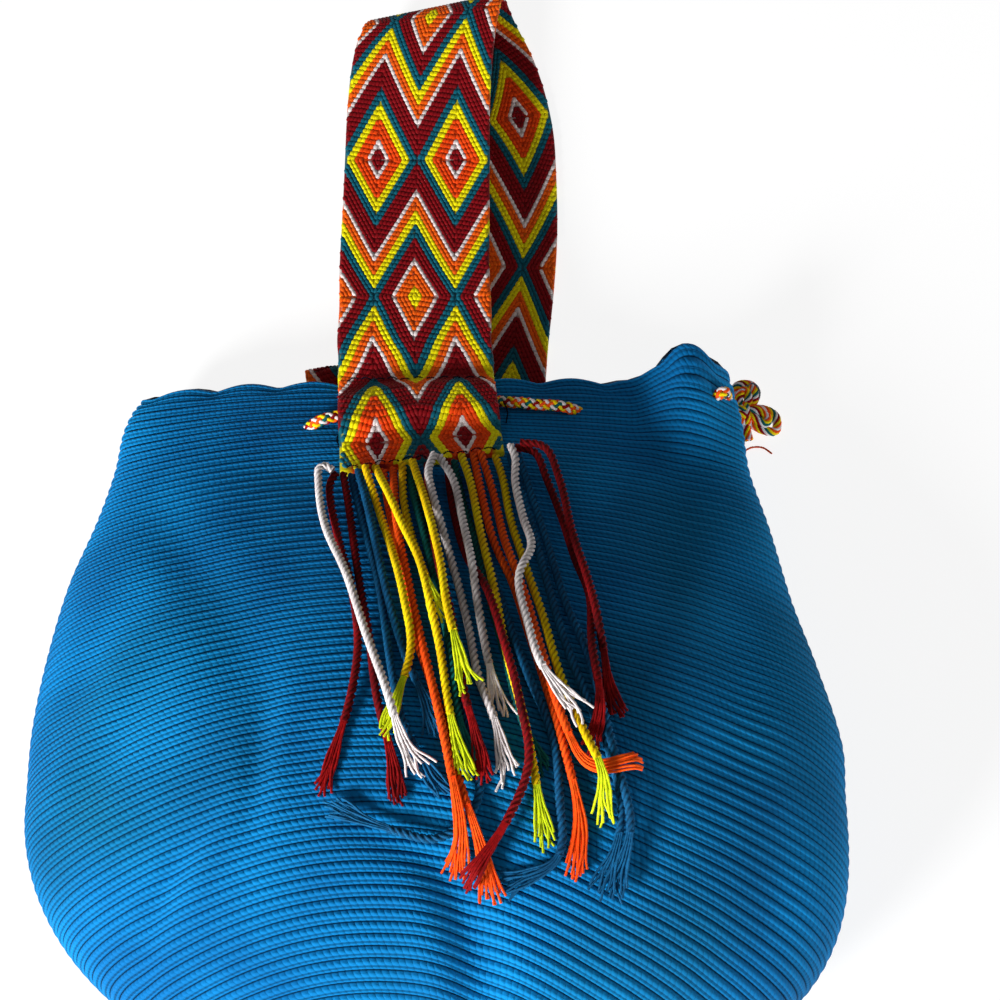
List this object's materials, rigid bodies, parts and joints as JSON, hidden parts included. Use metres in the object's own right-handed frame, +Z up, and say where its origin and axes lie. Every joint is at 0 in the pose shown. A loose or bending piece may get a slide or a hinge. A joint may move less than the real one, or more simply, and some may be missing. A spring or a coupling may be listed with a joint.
{
  "type": "crocheted shoulder bag",
  "caption": "Crocheted bucket-shaped shoulder bag lying on its back, with a woven diamond strap sewn on, a fringe of twisted strands and a drawcord through the mouth.",
  "frame": {"origin": "centre of the whole object's footprint, on the surface that it lies on", "axes": "+Y from the base of the bag to the mouth and on to the strap, +Z up out of the surface, +X to the right across the bag"},
  "size_m": [0.322, 0.5344, 0.1205],
  "materials": {
    "crochet": "matte",
    "drawcord_yarn": "matte",
    "strap_weave": "matte",
    "sewing_thread": "matte",
    "yarn_teal": "matte",
    "yarn_blue": "matte",
    "yarn_maroon": "matte",
    "yarn_orange": "matte",
    "yarn_yellow": "matte",
    "yarn_white": "matte"
  },
  "bodies": {
    "root": {"bag_body": "crochet", "drawcord": "drawcord_yarn", "drawcord_bow": "drawcord_yarn", "strap": "strap_weave", "seam_thread_upper": "sewing_thread", "seam_thread_lower": "sewing_thread", "back_fringe": "yarn_teal", "tail_blue_1": "yarn_blue", "tail_blue_2": "yarn_blue", "tail_maroon_1": "yarn_maroon", "tail_maroon_2": "yarn_maroon", "tail_blue_3": "yarn_blue", "tail_blue_4": "yarn_blue", "tail_blue_5": "yarn_blue", "tail_blue_6": "yarn_blue", "tail_maroon_3": "yarn_maroon", "tail_maroon_4": "yarn_maroon", "tail_teal_1": "yarn_teal", "tail_teal_2": "yarn_teal", "tail_maroon_5": "yarn_maroon", "tail_orange_1": "yarn_orange", "tail_orange_2": "yarn_orange", "tail_orange_3": "yarn_orange", "tail_orange_4": "yarn_orange", "tail_yellow_1": "yarn_yellow", "tail_yellow_2": "yarn_yellow", "tail_yellow_3": "yarn_yellow", "tail_yellow_4": "yarn_yellow", "tail_yellow_5": "yarn_yellow", "tail_yellow_6": "yarn_yellow", "tail_maroon_6": "yarn_maroon", "tail_white_1": "yarn_white", "tail_white_2": "yarn_white", "tail_white_3": "yarn_white", "tail_white_4": "yarn_white"}
  },
  "joints": []
}
